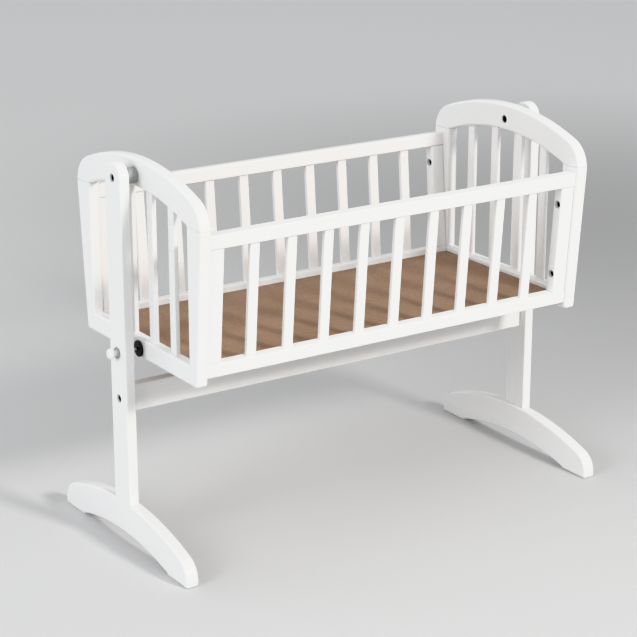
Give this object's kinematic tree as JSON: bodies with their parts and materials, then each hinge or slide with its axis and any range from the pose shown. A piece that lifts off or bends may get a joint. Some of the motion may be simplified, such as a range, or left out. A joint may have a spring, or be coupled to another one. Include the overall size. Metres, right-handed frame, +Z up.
{
  "type": "baby crib",
  "caption": "Slatted white baby crib with arched ends and leaning sides, hung on pivots so that it swings between the uprights of a stand with arched feet.",
  "frame": {"origin": "centre of the bounding box in X and Y, on the floor", "axes": "+X along the crib's length away from the lock knob, +Y from the front to the back, +Z up"},
  "size_m": [1.074, 0.526, 0.814],
  "materials": {
    "white_lacquer": "satin white lacquer on smooth sanded wood, thin joint lines between the boards",
    "fibreboard": "bare tan-brown wood fibreboard, matt, finely mottled",
    "black_steel": "blackened steel bolts with hexagon sockets",
    "zinc_steel": "dull bright zinc-plated steel",
    "black_plastic": "matt black moulded plastic",
    "grey_plastic": "matt grey moulded plastic"
  },
  "bodies": {
    "stand": {"left_upright": "white_lacquer", "left_foot": "white_lacquer", "left_pivot_bolt": "black_steel", "left_pivot_spacer": "grey_plastic", "left_stretcher_bolt": "black_steel", "right_upright": "white_lacquer", "right_foot": "white_lacquer", "right_pivot_bolt": "black_steel", "right_pivot_spacer": "grey_plastic", "right_stretcher_bolt": "black_steel", "stretcher": "white_lacquer", "lock_bush": "grey_plastic"},
    "crib": {"left_end_arch_rail": "white_lacquer", "left_end_bottom_rail": "white_lacquer", "left_end_front_stile": "white_lacquer", "left_end_back_stile": "white_lacquer", "left_end_slat_1": "white_lacquer", "left_end_slat_2": "white_lacquer", "left_end_slat_3": "white_lacquer", "left_end_slat_4": "white_lacquer", "right_end_arch_rail": "white_lacquer", "right_end_bottom_rail": "white_lacquer", "right_end_front_stile": "white_lacquer", "right_end_back_stile": "white_lacquer", "right_end_slat_1": "white_lacquer", "right_end_slat_2": "white_lacquer", "right_end_slat_3": "white_lacquer", "right_end_slat_4": "white_lacquer", "front_side_top_rail": "white_lacquer", "front_side_bottom_rail": "white_lacquer", "front_side_left_stile": "white_lacquer", "front_side_right_stile": "white_lacquer", "front_side_slat_1": "white_lacquer", "front_side_slat_2": "white_lacquer", "front_side_slat_3": "white_lacquer", "front_side_slat_4": "white_lacquer", "front_side_slat_5": "white_lacquer", "front_side_slat_6": "white_lacquer", "front_side_slat_7": "white_lacquer", "front_side_slat_8": "white_lacquer", "front_side_slat_9": "white_lacquer", "back_side_top_rail": "white_lacquer", "back_side_bottom_rail": "white_lacquer", "back_side_left_stile": "white_lacquer", "back_side_right_stile": "white_lacquer", "back_side_slat_1": "white_lacquer", "back_side_slat_2": "white_lacquer", "back_side_slat_3": "white_lacquer", "back_side_slat_4": "white_lacquer", "back_side_slat_5": "white_lacquer", "back_side_slat_6": "white_lacquer", "back_side_slat_7": "white_lacquer", "back_side_slat_8": "white_lacquer", "back_side_slat_9": "white_lacquer", "base_board": "fibreboard", "front_base_cleat": "white_lacquer", "back_base_cleat": "white_lacquer", "lock_receiver": "black_plastic"},
    "lock": {"lock_knob": "white_lacquer", "lock_pin": "zinc_steel"}
  },
  "joints": [
    {"name": "crib_swing", "type": "hinge", "parent": "stand", "child": "crib", "pos_m": [0.011, 0, 0.78], "axis": [1, 0, 0], "range_deg": [-15, 15]},
    {"name": "lock_pull", "type": "slide", "parent": "stand", "child": "lock", "axis": [-1, 0, 0], "range_m": [0, 0.01]}
  ]
}
